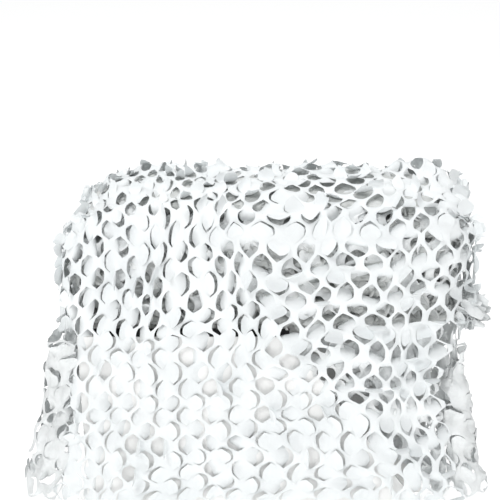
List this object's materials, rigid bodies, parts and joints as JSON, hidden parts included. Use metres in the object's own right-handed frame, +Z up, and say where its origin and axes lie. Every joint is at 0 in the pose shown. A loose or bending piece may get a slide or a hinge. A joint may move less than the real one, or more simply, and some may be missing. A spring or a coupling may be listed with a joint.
{
  "type": "camouflage net bale",
  "caption": "White die-cut snow camouflage net: a folded bale with its outer layer spread over it and hanging down on all four sides around whatever holds it up.",
  "frame": {"origin": "middle of the bale's flat underside, where it rests on what holds it up; the hanging sides reach below it", "axes": "+X along the bale's length, +Y towards the back (the front faces -Y), +Z up"},
  "size_m": [1.0871, 0.3506, 0.7426],
  "materials": {
    "white_net": "thin coated ripstop cloth with a soft sheen, die cut into curled leaves",
    "shaded_net": "the same coated cloth in the inner layers, greyer where it lies in shade"
  },
  "bodies": {
    "bale": {"lap_01": "shaded_net", "lap_02": "shaded_net", "lap_03": "shaded_net", "lap_04": "shaded_net", "lap_05": "shaded_net", "lap_06": "shaded_net", "lap_07": "shaded_net", "lap_08": "shaded_net", "top_sheet": "white_net", "front_sheet": "white_net", "back_sheet": "white_net", "left_end_sheet": "white_net", "right_end_sheet": "white_net", "right_end_bunch": "shaded_net"},
    "front_side": {"front_drop": "white_net", "front_under_layer": "shaded_net"},
    "back_side": {"back_drop": "white_net"},
    "left_side": {"left_drop": "white_net", "left_front_corner_fold": "shaded_net", "left_back_corner_fold": "shaded_net"},
    "right_side": {"right_drop": "white_net", "right_front_corner_fold": "shaded_net", "right_back_corner_fold": "shaded_net"}
  },
  "joints": [
    {"name": "front_swing", "type": "hinge", "parent": "bale", "child": "front_side", "pos_m": [0, -0.1633, 0], "axis": [-1, 0, 0], "range_deg": [0, 80]},
    {"name": "back_swing", "type": "hinge", "parent": "bale", "child": "back_side", "pos_m": [0, 0.1633, 0], "axis": [1, 0, 0], "range_deg": [0, 80]},
    {"name": "left_swing", "type": "hinge", "parent": "bale", "child": "left_side", "pos_m": [-0.4633, 0, 0], "axis": [0, 1, 0], "range_deg": [0, 80]},
    {"name": "right_swing", "type": "hinge", "parent": "bale", "child": "right_side", "pos_m": [0.44, 0, -0.008], "axis": [0, -1, 0], "range_deg": [0, 60]}
  ]
}
